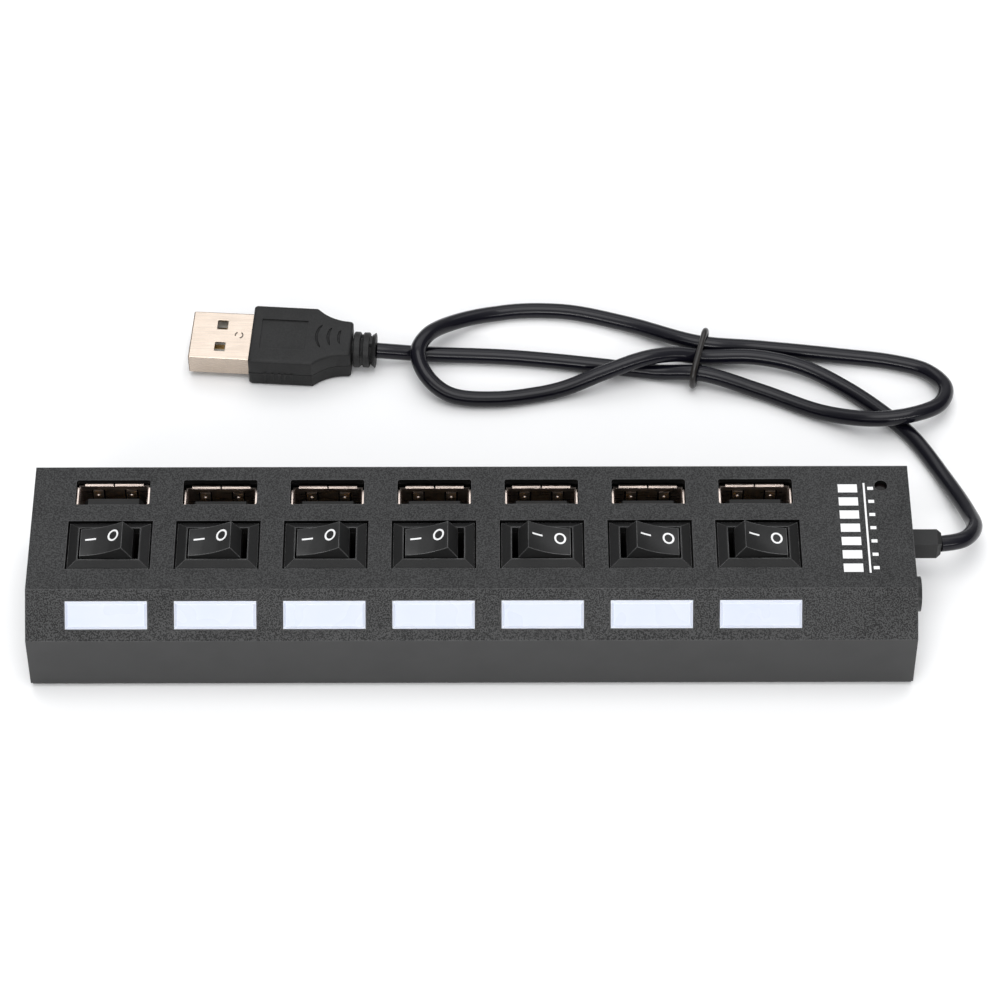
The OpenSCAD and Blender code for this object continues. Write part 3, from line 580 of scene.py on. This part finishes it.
def build_grip(bm):
    """Body of the grip: soft edges at top and bottom, and a parting line round its side.

    Each level is how far the outline is drawn in, and its height.
    """
    top = [(0.65, 3.55), (0.45, 3.53), (0.27, 3.46), (0.12, 3.33), (0.03, 3.15), (0, 2.9)]
    line = [(0, PARTING_Z + 0.14), (0.03, PARTING_Z + 0.09), (0.15, PARTING_Z + 0.03),
            (0.15, PARTING_Z - 0.03), (-0.01, PARTING_Z - 0.09), (-0.03, PARTING_Z - 0.16)]
    bottom = [(inset, -z) for inset, z in top[::-1]]
    loft(bm, [grip_ring(inset, z) for inset, z in top + line + bottom])


def add_box(bm, x, y, z):
    """A small block between pairs of numbers, in the plug's own frame."""
    corners = [AT_PLUG @ Vector((a * MM, b * MM, c * MM)) for c in z
               for a, b in ((x[0], y[0]), (x[1], y[0]), (x[1], y[1]), (x[0], y[1]))]
    verts = [bm.verts.new(c) for c in corners]
    for face in ((0, 1, 2, 3), (4, 5, 6, 7), (0, 1, 5, 4), (1, 2, 6, 5), (2, 3, 7, 6),
                 (3, 0, 4, 7)):
        bm.faces.new([verts[i] for i in face])


def build_grip_cuts(bm):
    """What is sunk in the grip's top: a panel and three curved grooves."""
    add_box(bm, (-23.0, -13.8), (-3.8, 3.8), (GRIP_HALF_T - 0.3, GRIP_HALF_T + 1))
    groove_r = 5.0
    for left, length in ((-11.9, 6.0), (-9.6, 4.7), (-7.5, 3.5)):
        reach = math.asin(length / 2 / groove_r)
        rings = []
        for i in range(13):
            a = math.pi + reach * (i / 6 - 1)
            wide = 0.3 * math.sqrt(max(0.02, 1 - (i / 6 - 1) ** 4))
            ring = []
            for j in range(8):
                b = 2 * math.pi * j / 8
                r = groove_r + wide * math.cos(b)
                ring.append(AT_PLUG @ Vector((
                    (left + groove_r + r * math.cos(a)) * MM, r * math.sin(a) * MM,
                    (GRIP_HALF_T + 0.32 * math.sin(b)) * MM)))
            rings.append(ring)
        loft(bm, rings)


def build_ribs(bm):
    """Five short ribs low on each side of the grip, each with a knob on the parting line."""
    for x in (-21.6, -20.1, -18.7, -17.6, -16.3):
        for side in (-1, 1):
            y = sorted((side * (GRIP_HALF_W - 0.3), side * (GRIP_HALF_W + 0.14)))
            add_box(bm, (x - 0.2, x + 0.2), y, (-2.9, PARTING_Z - 0.12))
            y = sorted((side * (GRIP_HALF_W - 0.3), side * (GRIP_HALF_W + 0.2)))
            add_box(bm, (x - 0.26, x + 0.26), y, (PARTING_Z - 0.2, PARTING_Z + 0.25))


def turned(bm, profile, sides=56):
    """A closed solid of revolution about the plug's X: (x, radius) from end to end."""
    loft(bm, [[AT_PLUG @ Vector((x * MM, r * math.cos(2 * math.pi * i / sides) * MM,
                                 r * math.sin(2 * math.pi * i / sides) * MM))
               for i in range(sides)] for x, r in profile])


def build_boot(bm):
    """Ribbed boot round the cord: three collars on a core, with webs between them."""
    turned(bm, [(-5.2, 2.3), (-0.5, 2.3), (-0.3, 2.15), (-0.2, 1.7)])
    for start, end, r in ((-4.5, -3.15, 3.55), (-2.65, -1.3, 3.5)):
        turned(bm, [(start, r - 0.5), (start, r - 0.2), (start + 0.18, r), (end - 0.18, r),
                    (end, r - 0.2), (end, r - 0.5)])
    turned(bm, [(-0.95, 2.6), (-0.95, 2.95), (-0.8, 3.1), (-0.45, 3.35), (-0.25, 3.5),
                (-0.12, 3.3), (-0.12, 1.7)])
    for x, turn in (((-3.3, -2.5), 0), ((-1.4, -0.8), 1)):
        for side in (-1, 1):
            y, z = sorted((side * 2, side * 3.2)), (-1, 1)
            add_box(bm, x, *((z, y) if turn else (y, z)))


def sink(piece, build_cuts):
    """Takes the solids that build_cuts makes out of a piece's mesh."""
    cuts = mesh_piece("cuts", build_cuts)
    carve = piece.modifiers.new("carve", "BOOLEAN")
    carve.operation = "DIFFERENCE"
    carve.solver = "EXACT"
    carve.object = cuts
    bpy.context.view_layer.update()
    carved = bpy.data.meshes.new_from_object(
        piece.evaluated_get(bpy.context.evaluated_depsgraph_get()))
    piece.modifiers.clear()
    piece.data = carved
    carved.set_sharp_from_angle(angle=math.radians(30))
    bpy.data.objects.remove(cuts)


grip = add_mesh("plug_grip", build_grip, "grip", "housing")
sink(grip, build_grip_cuts)
ribs = add_mesh("plug_ribs", build_ribs, "grip", "housing")
boot = add_mesh("plug_boot", build_boot, "grip", "housing")
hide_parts("plug_overmould")


def build_crimp(bm):
    """The two arcs of the round crimp in the top of the plug's shell, plated dark as painted shade
    of its stamped dimple.
    """
    x, y, z, radius = -27.4, 0.3, 2.27, 0.75
    for start, sweep in ((-75, 130), (120, 75)):
        turns = [math.radians(start + sweep * i / 12) for i in range(13)]
        line = [AT_PLUG @ Vector(((x + radius * math.cos(a)) * MM,
                                  (y + radius * math.sin(a)) * MM, z * MM)) for a in turns]
        loft(bm, tube_rings(line, 0.12 * MM, 10))


crimp = add_mesh("shell_crimp", build_crimp, "crimp", "housing")


# ------------------------------------------------------------------ floor and lights

def add_floor():
    """A plain pale floor, eight metres square."""
    mesh = bpy.data.meshes.new("floor")
    half = 4.0
    mesh.from_pydata([(-half, -half, 0), (half, -half, 0), (half, half, 0), (-half, half, 0)],
                     [], [(0, 1, 2, 3)])
    floor = bpy.data.objects.new("floor", mesh)
    bpy.context.scene.collection.objects.link(floor)
    s = Surface("floor_paper", 0.9)
    s.paint(s.mixed(s.noise(0.4, 2), grey(0.93), grey(0.95)))
    s.polish(s.ranged(s.noise(0.2, 2), 0.85, 0.95))
    mesh.materials.append(s.material)


def add_area(name, place, target, size, power, colour=(1, 1, 1)):
    """A soft box at a place, turned to its target."""
    data = bpy.data.lights.new(name, "AREA")
    data.shape = "RECTANGLE"
    data.size, data.size_y = size
    data.energy = power
    data.color = colour
    lamp = bpy.data.objects.new(name, data)
    bpy.context.scene.collection.objects.link(lamp)
    away = Vector(place) - Vector(target)
    lamp.matrix_world = (Matrix.Translation(place)
                         @ away.to_track_quat("Z", "Y").to_matrix().to_4x4())


ROOM_DIMMEST = 0.24         # the room's light at its sides and below
ROOM_BRIGHTER = 0.74        # how much brighter it is high up in the middle


def add_lights():
    """A pale room, dimmer at its two sides and towards the horizon, and four soft boxes."""
    world = bpy.data.worlds.new("studio")
    world.use_nodes = True
    tree = world.node_tree
    background = tree.nodes["Background"]
    background.inputs["Color"].default_value = (0.97, 0.98, 1, 1)
    direction = tree.nodes.new("ShaderNodeTexCoord").outputs["Generated"]
    split = tree.nodes.new("ShaderNodeSeparateXYZ")
    tree.links.new(direction, split.inputs["Vector"])

    def part(kind, operation, *values):
        node = tree.nodes.new(kind)
        node.operation = operation
        for socket, value in zip(node.inputs, values):
            if isinstance(value, (int, float)):
                socket.default_value = value
            else:
                tree.links.new(value, socket)
        return node.outputs[0]

    def ramp(value, low, high):
        node = tree.nodes.new("ShaderNodeMapRange")
        node.inputs["From Min"].default_value = low
        node.inputs["From Max"].default_value = high
        tree.links.new(value, node.inputs["Value"])
        return node.outputs["Result"]

    aside = part("ShaderNodeMath", "ABSOLUTE", split.outputs["X"])
    rise = ramp(split.outputs["Z"], -0.2, 0.7)
    middle = ramp(aside, 0.8, 0.2)
    both = part("ShaderNodeMath", "MULTIPLY", rise, middle)
    strength = part("ShaderNodeMath", "MULTIPLY_ADD", both, ROOM_BRIGHTER, ROOM_DIMMEST)
    tree.links.new(strength, background.inputs["Strength"])
    bpy.context.scene.world = world
    add_area("front_box", (-0.25, -1.0, 0.6), (0, 0, 0), (1.0, 0.4), 3.0)
    add_area("back_box", (0.05, 0.6, 0.78), (0, 0.02, 0), (1.3, 0.4), 1.9, (0.97, 0.98, 1))
    add_area("top_box", (0, -0.05, 1.3), (0, 0, 0), (0.9, 0.9), 6.8)
    add_area("streak", (0.0, -0.8, 0.42), (0, 0.03, 0), (1.5, 0.05), 3.4)


add_floor()
add_lights()
bpy.context.scene.view_settings.view_transform = "Standard"
